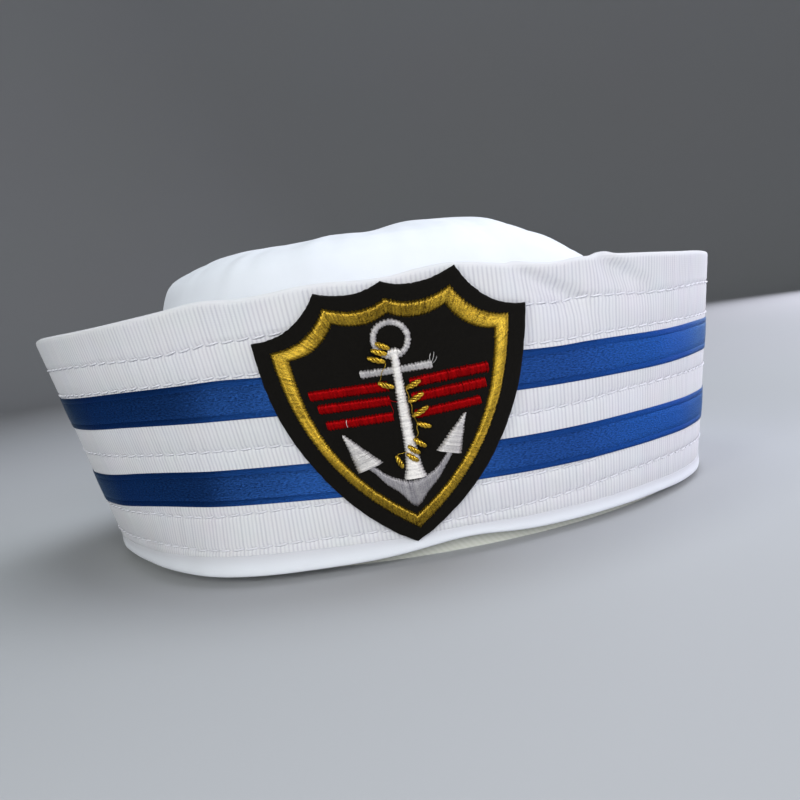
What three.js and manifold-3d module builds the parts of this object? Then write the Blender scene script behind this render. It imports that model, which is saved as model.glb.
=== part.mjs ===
// Sailor-style captain hat: a soft gathered crown inside a tall flared cuff.
// Two satin ribbons run round the cuff, and a felt shield with an embroidered anchor is sewn on its front.
// Millimetres and degrees, +Z up. Angle 0 is the front (-Y) and angles grow towards +X.
// On the cuff, x is measured along the cloth from the front centre line and v up the slant from the hem.

import * as THREE from 'three';
import Module from 'manifold-3d';

const SEGMENTS = 80;
const GAP = 0.3;

// The level lower edge of the sweatband stands on the floor at height 0, and the hem hangs above it.
// The hat sits a little higher on its left side, and the base is set so that it is centred on the origin.
const HEM_ABOVE_FLOOR = 2.6;
const SIDE_TILT = 1.2;
const BASE_CENTRE = { x: 2.7, y: 1.5 };

const CUFF = {
  baseRadius: 96,
  rimRadius: 110,
  slant: 70,
  rise: 68.6,
  thickness: 2.4,
  ovality: 0.03,
  leanX: -4.2,
  clothRadius: 100,
  bottomEdge: 1.6,
  bottomEdgeInside: 2.4,
  foldStart: 69.1,
};

// Swells of the hem: out is away from the axis and lift is upwards.
const HEM_SWELLS = [
  { angle: -31, spread: 20, out: 7.8, lift: -0.6 },
  { angle: 32, spread: 30, out: 0, lift: 2.0 },
];
const HEM_OUT_REACH = 28;
const HEM_OUT_FADE = 1.5;
const HEM_LIFT_REACH = 17.5;

// Waves of the upper edge.
const RIM_WAVES = [
  { angle: -25, spread: 14, lift: 2.5 },
  { angle: 8, spread: 12, lift: 4.2 },
  { angle: 32, spread: 12, lift: 0.5 },
];
const RIM_LIFT_FROM = 42;

// Shallow creases near the upper edge, right of the shield.
const CUFF_DENTS = [
  { x: 34, v: 63.5, halfLength: 7, halfHeight: 3.2, slope: 0.45, depth: 1.0 },
  { x: 53, v: 65, halfLength: 8, halfHeight: 3.2, slope: 0.35, depth: 0.8 },
];

const CUFF_OUTER_ROWS = [6.4, 14, 21, 28, 42, 57, 64];
const CUFF_INNER_ROWS = [21, 7];

const RIBBON = { width: 10, thickness: 1.0 };
const RIBBONS = [
  { name: 'ribbon_lower', middle: 22, sideDrop: 0.8 },
  { name: 'ribbon_upper', middle: 44.8, sideDrop: 2.2 },
];

// Folded binding round the hem: an outer leg up the cuff and a bottom leg under the cuff and crown.
// The cuff is pressed in under the leg, so the binding stands only a little proud of it.
const BINDING = {
  height: 5.2,
  legThickness: 1.0,
  bottomThickness: 1.2,
  bulge: 0.2,
  innerRadius: 91.6,
  pressedIn: 1.0,
};

const SWEATBAND = { height: 25, thickness: 1.2 };

// Crown wall from the hem to the top seam: ovality is as for the cuff, gather the share of the full depth.
const CROWN_WALL = [
  { rise: 1.5, radius: 93.2, ovality: 0.03, gather: 0 },
  { rise: 25, radius: 90.2, ovality: 0.03, gather: 0 },
  { rise: 50, radius: 83.8, ovality: 0.02, gather: 0.1 },
  { rise: 66, radius: 77.8, ovality: 0.005, gather: 0.35 },
  { rise: 75, radius: 73.8, ovality: 0, gather: 0.7 },
  { rise: 81, radius: 70.4, ovality: 0, gather: 0.9 },
  { rise: 84.2, radius: 68, ovality: 0, gather: 1 },
  { rise: 85.4, radius: 66.3, ovality: 0, gather: 1 },
];
const CROWN_INNER_ROWS = [85.4, 81, 66, 45, 25, 1.5];
const CROWN = { thickness: 1.6, leanX: -1.5, leanRise: 85.4 };

// Gathers at the top seam: in some stretches they are deeper than in others.
const GATHERS = { count: 20, depth: 0.9, unevenness: 0.3, stretches: 3, firstStretch: 1 };

// Round top of the crown, from the seam to the middle. Its inner face follows the rows marked inside.
const CROWN_TOP = [
  { radius: 65.6, rise: 87.2, gather: 1, inside: false },
  { radius: 60, rise: 88.4, gather: 0.7, inside: false },
  { radius: 51, rise: 89.7, gather: 0.35, inside: true },
  { radius: 37, rise: 90.9, gather: 0.1, inside: false },
  { radius: 18, rise: 91.7, gather: 0, inside: true },
];
const CROWN_TOP_EDGE = { radius: 66.5, rise: 86.4 };

// The sides of the crown have sunk under their own weight, the right one most.
const CROWN_SLUMPS = [
  { angle: 78, spread: 42, drop: 10.5 },
  { angle: -88, spread: 52, drop: 3 },
];
const SLUMP_FROM = 45;
const SLUMP_TO = 85.4;
const SLUMP_FADE = 1.5;

// Shield outline: sag is how far the edge from this corner to the next bows out, or in where negative.
const SHIELD = [
  { x: -2, v: 69.3, sag: -2.1 },
  { x: 15.2, v: 69.2, sag: -2.9 },
  { x: 31.5, v: 60.3, sag: 9 },
  { x: -5, v: 2.9, sag: 9 },
  { x: -34.6, v: 59.3, sag: -2.7 },
  { x: -17.4, v: 69.2, sag: -1.7 },
];
const SHIELD_STEPS = [5, 5, 14, 14, 5, 5];
const SHIELD_MIDDLE = { x: -2.5, v: 42 };
const SHIELD_RINGS = [0.33, 0.67];
const FELT_THICKNESS = 1.4;

// Gold border of the shield, outer and inner edge.
const BORDER_OUTER = [
  { x: -1.6, v: 65.4, sag: -2 },
  { x: 13.3, v: 65.1, sag: -2.3 },
  { x: 26.7, v: 58, sag: 6.5 },
  { x: -3.6, v: 7.4, sag: 7.2 },
  { x: -30, v: 56.6, sag: -2.3 },
  { x: -15.7, v: 65.6, sag: -1.7 },
];
const BORDER_INNER = [
  { x: -1.6, v: 62.3, sag: -1.8 },
  { x: 11.7, v: 61.6, sag: -1.9 },
  { x: 23, v: 55.2, sag: 6 },
  { x: -3.7, v: 10.4, sag: 6.6 },
  { x: -26.5, v: 54.6, sag: -1.9 },
  { x: -14.6, v: 62.1, sag: -1.5 },
];

// Raised thread work: height at the edges and along the crest.
const THREAD = { edge: 0.5, crest: 1.0 };
const THREAD_STEP = 5;

const ANCHOR_RING = { x: -2, v: 56.2, outer: 4.7, inner: 3.3, steps: 16 };
const ANCHOR_KNOB = { x: -1.8, v: 53.1, halfWidth: 1.7, halfHeight: 1, endHalfHeight: 0.6 };
const ANCHOR_SHANK = [
  { v: 53.4, x: -1.8, halfWidth: 0.9 },
  { v: 45, x: -1.9, halfWidth: 1.1 },
  { v: 36, x: -2, halfWidth: 1.35 },
  { v: 29, x: -2, halfWidth: 1.5 },
  { v: 24.5, x: -2.1, halfWidth: 2 },
  { v: 20.4, x: -2.2, halfWidth: 3 },
];
const ANCHOR_STOCK = [
  { x: -10.6, v: 48.8, halfHeight: 0.9 },
  { x: -4, v: 48.9, halfHeight: 0.85 },
  { x: 2, v: 49, halfHeight: 0.85 },
  { x: 6.5, v: 48.9, halfHeight: 1 },
];
// Arms, from the left fluke to the right one: upper and lower edge.
const ANCHOR_ARMS = [
  { x: -13.8, top: 27, bottom: 25 },
  { x: -12, top: 25.2, bottom: 23 },
  { x: -10, top: 23.2, bottom: 20.2 },
  { x: -7, top: 21.4, bottom: 17.2 },
  { x: -3.3, top: 20.6, bottom: 13 },
  { x: 0.5, top: 21.2, bottom: 16.8 },
  { x: 3.6, top: 23, bottom: 19.9 },
  { x: 6.6, top: 26.4, bottom: 24 },
  { x: 8, top: 28.4, bottom: 26 },
];
// Flukes: the point and the two barbs.
const ANCHOR_FLUKES = [
  { tip: { x: -18.2, v: 35 }, inner: { x: -9.6, v: 26 }, outer: { x: -16.3, v: 24 } },
  { tip: { x: 12.8, v: 36.6 }, inner: { x: 4.2, v: 27.3 }, outer: { x: 10.2, v: 25.8 } },
];
const FLUKE_ROWS = [0.04, 0.5, 1];

const BAR_HEIGHT = 2.1;
const BARS = [
  { name: 'bar_left_1', x1: -23.8, v1: 45.2, x2: -4.6, v2: 45.4 },
  { name: 'bar_left_2', x1: -22.4, v1: 41.8, x2: -4.8, v2: 41.9 },
  { name: 'bar_left_3', x1: -21.3, v1: 37.4, x2: -4.8, v2: 37.8 },
  { name: 'bar_right_1', x1: 0.6, v1: 45.4, x2: 20, v2: 46.5 },
  { name: 'bar_right_2', x1: 0.6, v1: 41.9, x2: 18.8, v2: 43 },
  { name: 'bar_right_3', x1: 0.7, v1: 37.6, x2: 17, v2: 38.9 },
];

// Rope turns seen in front of the anchor: over1 and over2 say whether that end lies on other thread work.
const ROPE_WIDTH = 1.3;
const ROPES = [
  { x1: -5.6, v1: 56, over1: 1, x2: -2.6, v2: 54.3, over2: 1 },
  { x1: -6.9, v1: 54, over1: 1, x2: -3.5, v2: 52.6, over2: 1 },
  { x1: -8.2, v1: 52.2, over1: 0, x2: -4.2, v2: 50.6, over2: 0 },
  { x1: -6.8, v1: 46.7, over1: 1, x2: -3.2, v2: 45.2, over2: 1 },
  { x1: -0.4, v1: 44.6, over1: 1, x2: 3.2, v2: 46, over2: 1 },
  { x1: -0.4, v1: 41.3, over1: 1, x2: 3.4, v2: 43, over2: 1 },
  { x1: -0.2, v1: 37.4, over1: 1, x2: 4, v2: 39.6, over2: 1 },
  { x1: 0.6, v1: 35.4, over1: 0, x2: 4, v2: 34, over2: 0 },
  { x1: -0.8, v1: 31.6, over1: 1, x2: 1.9, v2: 29.2, over2: 1 },
  { x1: -2.6, v1: 30, over1: 1, x2: 0.1, v2: 27.6, over2: 1 },
  { x1: -3.3, v1: 28, over1: 1, x2: -0.6, v2: 25.6, over2: 1 },
  { x1: -6, v1: 27.6, over1: 0, x2: -4.9, v2: 24, over2: 0 },
];

// Heights above the cuff cloth of what is sewn on it.
const RIBBON_TOP = GAP + RIBBON.thickness;
const FELT_BOTTOM = RIBBON_TOP + GAP;
const FELT_TOP = FELT_BOTTOM + FELT_THICKNESS;
const THREAD_BOTTOM = FELT_TOP + GAP;
const ROPE_BOTTOM = THREAD_BOTTOM + THREAD.crest + GAP;

const COLOURS = {
  cloth: 0xf2f3f6,
  lining: 0xdfe4dc,
  satin: 0x1a4aa8,
  felt: 0x131315,
  gold: 0xc79a1e,
  silver: 0xd9d9dc,
  red: 0xb01418,
};

const radians = THREE.MathUtils.degToRad;
const swell = (angle, wave) => Math.exp(-(((angle - wave.angle) / wave.spread) ** 2));
const ramp = THREE.MathUtils.smoothstep;

// Share of the radius at an angle: an oval is wider at the sides than at the front and back.
function plan(angle, ovality) {
  return 1 - ovality * Math.cos(2 * radians(angle));
}

function around(angle, radius, rise, shiftX) {
  const turn = radians(angle);
  return new THREE.Vector3(radius * Math.sin(turn) + shiftX, -radius * Math.cos(turn), rise);
}

// Angles of the columns, shortest way round from the front.
function signedAngle(index) {
  const angle = (index * 360) / SEGMENTS;
  return angle > 180 ? angle - 360 : angle;
}

function dentDepth(angle, v) {
  let depth = 0;
  for (const dent of CUFF_DENTS) {
    const along = radians(angle) * CUFF.clothRadius - dent.x;
    const across = v - dent.v - dent.slope * along;
    depth += dent.depth * Math.exp(-((along / dent.halfLength) ** 2) - (across / dent.halfHeight) ** 2);
  }
  return depth;
}

// A point of the outer face of the cuff, without its cloth thickness.
function cuffFace(angle, v) {
  const share = v / CUFF.slant;
  let radius = THREE.MathUtils.lerp(CUFF.baseRadius, CUFF.rimRadius, share) * plan(angle, CUFF.ovality);
  let rise = CUFF.rise * share;
  for (const wave of HEM_SWELLS) {
    const outShare = Math.max(0, 1 - Math.max(0, v) / HEM_OUT_REACH) ** HEM_OUT_FADE;
    const liftShare = Math.max(0, 1 - Math.max(0, v) / HEM_LIFT_REACH);
    radius += wave.out * swell(angle, wave) * outShare;
    rise += wave.lift * swell(angle, wave) * liftShare;
  }
  for (const wave of RIM_WAVES) {
    const rimShare = Math.max(0, (v - RIM_LIFT_FROM) / (CUFF.slant - RIM_LIFT_FROM));
    rise += wave.lift * swell(angle, wave) * rimShare;
  }
  return around(angle, radius - dentDepth(angle, v), rise, CUFF.leanX * share);
}

// The same face moved outwards along its normal.
function cuffPoint(angle, v, out) {
  const step = 0.5;
  const here = cuffFace(angle, v);
  const sideways = cuffFace(angle + step, v).sub(cuffFace(angle - step, v));
  const upwards = cuffFace(angle, v + step).sub(cuffFace(angle, v - step));
  return here.addScaledVector(sideways.cross(upwards).normalize(), out);
}

function clothPoint(x, v, out) {
  return cuffPoint(THREE.MathUtils.radToDeg(x / CUFF.clothRadius), v, out);
}

function hemLift(angle) {
  return HEM_SWELLS.reduce((sum, wave) => sum + wave.lift * swell(angle, wave), 0);
}

// Radius, ovality and gather share of the crown wall at a height, straight between the rows of its table.
function crownRow(rise) {
  const next = Math.max(1, CROWN_WALL.findIndex((row) => row.rise >= rise));
  const upper = CROWN_WALL[next];
  const lower = CROWN_WALL[next - 1];
  const share = (rise - lower.rise) / (upper.rise - lower.rise);
  const between = (column) => THREE.MathUtils.lerp(lower[column], upper[column], share);
  return { radius: between('radius'), ovality: between('ovality'), gather: between('gather') };
}

// How far a gather stands out from the crown, or in where negative.
function gatherWave(angle) {
  const turn = radians(angle);
  const stretch = Math.sin(GATHERS.stretches * turn + GATHERS.firstStretch);
  return GATHERS.depth * (1 + GATHERS.unevenness * stretch) * Math.cos(GATHERS.count * turn);
}

function crownLean(rise) {
  return (CROWN.leanX * Math.max(0, rise)) / CROWN.leanRise;
}

// A point of the crown: the gathers go in and out, the slumps lower the sides.
function crownPoint(angle, row, slumpShare) {
  const slump = CROWN_SLUMPS.reduce((sum, wave) => sum + wave.drop * swell(angle, wave), 0);
  const radius = (row.radius + row.gather * gatherWave(angle)) * plan(angle, row.ovality ?? 0);
  return around(angle, radius, row.rise - slump * slumpShare, crownLean(row.rise));
}

function crownWallPoint(angle, rise, inset) {
  const row = crownRow(rise);
  const low = CROWN_WALL[0].rise;
  const lift = hemLift(angle) * Math.max(0, 1 - (rise - low) / HEM_LIFT_REACH);
  const lifted = { ...row, radius: row.radius - inset, rise: rise + lift };
  return crownPoint(angle, lifted, ramp(rise, SLUMP_FROM, SLUMP_TO));
}

// One closed body skinned over loops of points, joined round from last to first or capped at both ends.
function skin(loops, capped) {
  const count = loops[0].length;
  const points = loops.flat();
  const faces = [];
  const bands = capped ? loops.length - 1 : loops.length;
  for (let band = 0; band < bands; band++) {
    const start = band * count;
    const end = ((band + 1) % loops.length) * count;
    for (let i = 0; i < count; i++) {
      const j = (i + 1) % count;
      faces.push(start + i, start + j, end + j);
      faces.push(start + i, end + j, end + i);
    }
  }
  if (capped) {
    const last = (loops.length - 1) * count;
    const firstMiddle = points.push(middleOf(loops[0])) - 1;
    const lastMiddle = points.push(middleOf(loops[loops.length - 1])) - 1;
    for (let i = 0; i < count; i++) {
      const j = (i + 1) % count;
      faces.push(firstMiddle, j, i);
      faces.push(lastMiddle, last + i, last + j);
    }
  }
  return outwards(points, faces);
}

function middleOf(loop) {
  const sum = loop.reduce((total, point) => total.add(point), new THREE.Vector3());
  return sum.divideScalar(loop.length);
}

// Turns every face round if the body came out inside out.
function outwards(points, faces) {
  let volume = 0;
  for (let i = 0; i < faces.length; i += 3) {
    const [a, b, c] = [points[faces[i]], points[faces[i + 1]], points[faces[i + 2]]];
    volume += a.dot(new THREE.Vector3().crossVectors(b, c));
  }
  const turned = volume < 0 ? faces.reverse() : faces;
  const geometry = new THREE.BufferGeometry().setFromPoints(points);
  geometry.setIndex(turned);
  return geometry;
}

function loopRound(pointAt) {
  return Array.from({ length: SEGMENTS }, (_, index) => pointAt(signedAngle(index)));
}

function makeCuff() {
  const { bottomEdge, bottomEdgeInside, foldStart, slant, thickness } = CUFF;
  const pressed = [bottomEdge, BINDING.height + GAP].map((v) => ({ v, out: -BINDING.pressedIn }));
  const outer = [...CUFF_OUTER_ROWS, foldStart].map((v) => ({ v, out: 0 }));
  const fold = { v: slant, out: -thickness / 2 };
  const inner = [foldStart, ...CUFF_INNER_ROWS, bottomEdgeInside].map((v) => ({ v, out: -thickness }));
  const rows = [...pressed, ...outer, fold, ...inner];
  const loops = rows.map((row) => loopRound((angle) => cuffPoint(angle, row.v, row.out)));
  return skin(loops, false);
}

// A flat ribbon round the cuff: its height drops a little from left to right.
function makeRibbon(row) {
  const half = RIBBON.width / 2;
  const corners = [
    { v: -half, out: GAP },
    { v: -half, out: RIBBON_TOP },
    { v: half, out: RIBBON_TOP },
    { v: half, out: GAP },
  ];
  const centre = (angle) => row.middle - row.sideDrop * Math.sin(radians(angle));
  const loops = corners.map((corner) =>
    loopRound((angle) => cuffPoint(angle, centre(angle) + corner.v, corner.out))
  );
  return skin(loops, false);
}

function makeBinding() {
  const { height, legThickness, bottomThickness, bulge, innerRadius, pressedIn } = BINDING;
  const inside = (rise) => (angle) =>
    around(angle, innerRadius * plan(angle, CUFF.ovality), rise + hemLift(angle), 0);
  const outside = (v, out) => (angle) => cuffPoint(angle, v, out);
  const legIn = GAP - pressedIn;
  const legOut = legIn + legThickness;
  const profile = [
    inside(0),
    outside(0, legOut - bulge * 2),
    outside(bottomThickness, legOut),
    outside(height / 2, legOut + bulge),
    outside(height, legOut - bulge),
    outside(height, legIn),
    outside(bottomThickness, legIn),
    inside(bottomThickness),
  ];
  return skin(profile.map(loopRound), false);
}

// Inner band: it follows the crown wall and its level lower edge carries the hat.
function makeSweatband() {
  const { height, thickness } = SWEATBAND;
  const outside = CROWN.thickness + GAP;
  const inside = outside + thickness;
  const wall = (rise, depth) => (angle) => {
    const row = crownRow(Math.max(rise, CROWN_WALL[0].rise));
    return around(angle, (row.radius - depth) * plan(angle, row.ovality), rise, crownLean(rise));
  };
  const lowerEdge = (depth) => (angle) => {
    const point = wall(0, depth)(angle);
    point.z = point.x * Math.tan(radians(SIDE_TILT)) - HEM_ABOVE_FLOOR / Math.cos(radians(SIDE_TILT));
    return point;
  };
  const profile = [lowerEdge(outside), wall(height, outside), wall(height, inside), lowerEdge(inside)];
  return skin(profile.map(loopRound), false);
}

function makeCrownSide() {
  const outer = CROWN_WALL.map((row) => loopRound((angle) => crownWallPoint(angle, row.rise, 0)));
  const inner = CROWN_INNER_ROWS.map((rise) =>
    loopRound((angle) => crownWallPoint(angle, rise, CROWN.thickness))
  );
  return skin([...outer, ...inner], false);
}

// Domed disc that closes the crown: its rim lies on the top edge of the wall.
function makeCrownTop() {
  const seam = CROWN_WALL[CROWN_WALL.length - 1];
  const bottomRise = seam.rise + GAP;
  const ring = (row) =>
    loopRound((angle) => crownPoint(angle, row, Math.min(1, row.radius / seam.radius) ** SLUMP_FADE));
  const top = [...CROWN_TOP].reverse().map(ring);
  const edge = ring({ ...CROWN_TOP_EDGE, gather: 1 });
  const rimBelow = ring({ radius: seam.radius, rise: bottomRise, gather: 1 });
  const inRim = ring({ radius: seam.radius - CROWN.thickness, rise: bottomRise, gather: 1 });
  const insideRows = CROWN_TOP.filter((row) => row.inside);
  const below = insideRows.map((row) => ring({ ...row, rise: row.rise - CROWN.thickness }));
  return skin([...top, edge, rimBelow, inRim, ...below], true);
}

// Points of an outline: each edge is an arc with the given sag.
function outlinePoints(corners) {
  const points = [];
  corners.forEach((corner, index) => {
    const next = corners[(index + 1) % corners.length];
    const chord = new THREE.Vector2(next.x - corner.x, next.v - corner.v);
    const outward = new THREE.Vector2(-chord.y, chord.x).normalize();
    for (let step = 0; step < SHIELD_STEPS[index]; step++) {
      const share = step / SHIELD_STEPS[index];
      const bow = 4 * corner.sag * share * (1 - share);
      points.push({
        x: corner.x + chord.x * share + outward.x * bow,
        v: corner.v + chord.y * share + outward.y * bow,
      });
    }
  });
  return points;
}

function makeFelt() {
  const edge = outlinePoints(SHIELD);
  const ring = (share, out) =>
    edge.map((point) => {
      const x = THREE.MathUtils.lerp(SHIELD_MIDDLE.x, point.x, share);
      const v = THREE.MathUtils.lerp(SHIELD_MIDDLE.v, point.v, share);
      return clothPoint(x, v, out);
    });
  const shares = [...SHIELD_RINGS, 1];
  const top = shares.map((share) => ring(share, FELT_TOP));
  const bottom = [...shares].reverse().map((share) => ring(share, FELT_BOTTOM));
  return skin([...top, ...bottom], true);
}

// Cross-section of thread work between two edge points: flat below, raised to a crest along the middle.
function threadSection(a, b, bottom) {
  const middle = { x: (a.x + b.x) / 2, v: (a.v + b.v) / 2 };
  return [
    clothPoint(a.x, a.v, bottom),
    clothPoint(a.x, a.v, bottom + THREAD.edge),
    clothPoint(middle.x, middle.v, bottom + THREAD.crest),
    clothPoint(b.x, b.v, bottom + THREAD.edge),
    clothPoint(b.x, b.v, bottom),
  ];
}

function makeBorder() {
  const outer = outlinePoints(BORDER_OUTER);
  const inner = outlinePoints(BORDER_INNER);
  return skin(outer.map((point, index) => threadSection(point, inner[index], THREAD_BOTTOM)), false);
}

// A straight bar of thread work from one end to the other, in equal steps.
function threadBar(row, width, bottomAt) {
  const length = Math.hypot(row.x2 - row.x1, row.v2 - row.v1);
  const steps = Math.max(1, Math.round(length / THREAD_STEP));
  const along = new THREE.Vector2(row.x2 - row.x1, row.v2 - row.v1).normalize();
  const aside = { x: (-along.y * width) / 2, v: (along.x * width) / 2 };
  const loops = [];
  for (let step = 0; step <= steps; step++) {
    const share = step / steps;
    const x = THREE.MathUtils.lerp(row.x1, row.x2, share);
    const v = THREE.MathUtils.lerp(row.v1, row.v2, share);
    const a = { x: x + aside.x, v: v + aside.v };
    const b = { x: x - aside.x, v: v - aside.v };
    loops.push(threadSection(a, b, bottomAt(share)));
  }
  return skin(loops, true);
}

function makeRope(row) {
  const bottom = (over) => (over ? ROPE_BOTTOM : THREAD_BOTTOM);
  const bottomAt = (share) => THREE.MathUtils.lerp(bottom(row.over1), bottom(row.over2), share);
  return threadBar(row, ROPE_WIDTH, bottomAt);
}

const wasm = await Module();
wasm.setup();

function toSolid(geometry) {
  const vertProperties = new Float32Array(geometry.getAttribute('position').array);
  const triVerts = new Uint32Array(geometry.getIndex().array);
  return new wasm.Manifold(new wasm.Mesh({ numProp: 3, vertProperties, triVerts }));
}

function fromSolid(solid) {
  const mesh = solid.getMesh();
  const geometry = new THREE.BufferGeometry();
  geometry.setAttribute('position', new THREE.BufferAttribute(new Float32Array(mesh.vertProperties), 3));
  geometry.setIndex(Array.from(mesh.triVerts));
  return geometry;
}

// The anchor is one body: ring, knob, shank, stock, arms and flukes joined where they cross.
// Each member lies a little higher than the last, so that no two faces fall together.
function makeAnchor() {
  const step = 0.02;
  const members = [];
  const level = () => THREAD_BOTTOM + step * members.length;

  const ringLoops = [];
  const ringLevel = level();
  for (let index = 0; index < ANCHOR_RING.steps; index++) {
    const turn = (2 * Math.PI * index) / ANCHOR_RING.steps;
    const at = (radius) => ({
      x: ANCHOR_RING.x + radius * Math.cos(turn),
      v: ANCHOR_RING.v + radius * Math.sin(turn),
    });
    ringLoops.push(threadSection(at(ANCHOR_RING.outer), at(ANCHOR_RING.inner), ringLevel));
  }
  members.push(skin(ringLoops, false));

  const knob = ANCHOR_KNOB;
  const knobLevel = level();
  const knobLoops = [-1, 0, 1].map((side) => {
    const half = side === 0 ? knob.halfHeight : knob.endHalfHeight;
    const x = knob.x + side * knob.halfWidth;
    return threadSection({ x, v: knob.v + half }, { x, v: knob.v - half }, knobLevel);
  });
  members.push(skin(knobLoops, true));

  const shankLevel = level();
  const shankLoops = ANCHOR_SHANK.map(({ x, v, halfWidth }) =>
    threadSection({ x: x - halfWidth, v }, { x: x + halfWidth, v }, shankLevel)
  );
  members.push(skin(shankLoops, true));

  const stockLevel = level();
  const stockLoops = ANCHOR_STOCK.map(({ x, v, halfHeight }) =>
    threadSection({ x, v: v + halfHeight }, { x, v: v - halfHeight }, stockLevel)
  );
  members.push(skin(stockLoops, true));

  const armLevel = level();
  const armLoops = ANCHOR_ARMS.map((row) =>
    threadSection({ x: row.x, v: row.top }, { x: row.x, v: row.bottom }, armLevel)
  );
  members.push(skin(armLoops, true));

  for (const fluke of ANCHOR_FLUKES) {
    const flukeLevel = level();
    const flukeLoops = FLUKE_ROWS.map((share) => {
      const towards = (barb) => ({
        x: THREE.MathUtils.lerp(fluke.tip.x, barb.x, share),
        v: THREE.MathUtils.lerp(fluke.tip.v, barb.v, share),
      });
      return threadSection(towards(fluke.inner), towards(fluke.outer), flukeLevel);
    });
    members.push(skin(flukeLoops, true));
  }
  const solids = members.map(toSolid);
  return fromSolid(solids.reduce((joined, solid) => joined.add(solid)));
}

const FINISHES = {
  cloth: { color: COLOURS.cloth, roughness: 0.85, metalness: 0 },
  lining: { color: COLOURS.lining, roughness: 0.9, metalness: 0 },
  satin: { color: COLOURS.satin, roughness: 0.4, metalness: 0 },
  felt: { color: COLOURS.felt, roughness: 0.95, metalness: 0 },
  gold: { color: COLOURS.gold, roughness: 0.45, metalness: 0.6 },
  silver: { color: COLOURS.silver, roughness: 0.5, metalness: 0 },
  red: { color: COLOURS.red, roughness: 0.55, metalness: 0 },
};

const hat = new THREE.Group();
hat.position.set(BASE_CENTRE.x, BASE_CENTRE.y, HEM_ABOVE_FLOOR);
hat.rotation.y = radians(SIDE_TILT);

function addPiece(name, geometry, finish) {
  geometry.computeVertexNormals();
  const piece = new THREE.Mesh(geometry, new THREE.MeshStandardMaterial(FINISHES[finish]));
  piece.name = name;
  hat.add(piece);
}

addPiece('crown_side', makeCrownSide(), 'cloth');
addPiece('crown_top', makeCrownTop(), 'cloth');
addPiece('cuff', makeCuff(), 'cloth');
addPiece('hem_binding', makeBinding(), 'cloth');
addPiece('sweatband', makeSweatband(), 'lining');
RIBBONS.forEach((row) => addPiece(row.name, makeRibbon(row), 'satin'));
addPiece('patch_felt', makeFelt(), 'felt');
addPiece('patch_border', makeBorder(), 'gold');
addPiece('anchor', makeAnchor(), 'silver');
BARS.forEach((row) => addPiece(row.name, threadBar(row, BAR_HEIGHT, () => THREAD_BOTTOM), 'red'));
ROPES.forEach((row, index) => addPiece(`rope_${index + 1}`, makeRope(row), 'gold'));

const part = new THREE.Group();
part.add(hat);

export default part;
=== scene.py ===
import math
from functools import partial

import bpy
import numpy as np
from mathutils import Matrix, Vector


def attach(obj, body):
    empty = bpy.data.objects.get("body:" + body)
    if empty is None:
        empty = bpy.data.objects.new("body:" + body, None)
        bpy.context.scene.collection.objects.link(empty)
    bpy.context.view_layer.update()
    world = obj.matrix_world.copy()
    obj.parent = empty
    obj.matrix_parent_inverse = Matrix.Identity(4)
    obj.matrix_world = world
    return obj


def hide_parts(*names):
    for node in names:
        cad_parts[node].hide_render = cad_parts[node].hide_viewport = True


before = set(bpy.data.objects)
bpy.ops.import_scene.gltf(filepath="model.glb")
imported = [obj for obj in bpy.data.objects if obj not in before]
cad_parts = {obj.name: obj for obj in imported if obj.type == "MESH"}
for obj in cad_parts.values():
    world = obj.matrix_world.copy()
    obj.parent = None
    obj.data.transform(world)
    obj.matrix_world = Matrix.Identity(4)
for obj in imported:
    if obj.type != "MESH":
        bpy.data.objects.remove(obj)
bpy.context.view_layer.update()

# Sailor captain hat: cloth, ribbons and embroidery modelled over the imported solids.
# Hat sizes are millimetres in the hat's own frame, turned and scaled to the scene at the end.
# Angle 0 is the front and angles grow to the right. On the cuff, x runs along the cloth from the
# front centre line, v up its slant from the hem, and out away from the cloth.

print("frame loaded:", len(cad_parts), "solids")

# how the hat sits on the floor: its left side is a little higher
hatPose = {"tilt": 1.2, "x": 2.7, "y": 1.5, "hemAboveFloor": 2.6}
hatMatrix = (
    Matrix.Translation((hatPose["x"], hatPose["y"], hatPose["hemAboveFloor"]))
    @ Matrix.Rotation(math.radians(hatPose["tilt"]), 4, "Y")
)
mm = 0.001


def toScene(points):
    turn = np.array(hatMatrix.to_3x3())
    return (np.asarray(points) @ turn.T + np.array(hatMatrix.translation)) * mm


# Node and colour helpers
def linear(hexColour):
    values = [int(hexColour[i:i + 2], 16) / 255 for i in (1, 3, 5)]
    return [v / 12.92 if v <= 0.04045 else ((v + 0.055) / 1.055) ** 2.4 for v in values] + [1]


def setInputs(tree, node, inputs):
    # an input is a socket to link, a hex colour or a value
    for name, value in inputs.items():
        if isinstance(value, bpy.types.NodeSocket):
            tree.links.new(value, node.inputs[name])
        else:
            node.inputs[name].default_value = linear(value) if isinstance(value, str) else value


# gives the new node's output
# a colour Mix node has its factor at socket 0, its colours at 6 and 7 and its result at 2
def addNode(tree, kind, output, inputs=None, **settings):
    node = tree.nodes.new("ShaderNode" + kind)
    for name, value in settings.items():
        setattr(node, name, value)
    setInputs(tree, node, inputs or {})
    return node.outputs[output]


def newMaterial(name):
    # gives a call that adds a node, and one that sets the shader and gives the material
    material = bpy.data.materials.new(name)
    material.use_nodes = True
    tree = material.node_tree

    def finish(inputs):
        setInputs(tree, tree.nodes["Principled BSDF"], inputs)
        return material

    return partial(addNode, tree), finish


def perMetre(pitch):
    return 1 / (pitch * mm)


def waveScale(pitch):
    # a Wave texture's bands are a twentieth of a full sine turn wide at scale 1
    return 2 * math.pi / 20 * perMetre(pitch)


# Mesh helpers
mergeDistance = 2e-6  # metres
smoothAngle = math.radians(50)


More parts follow.
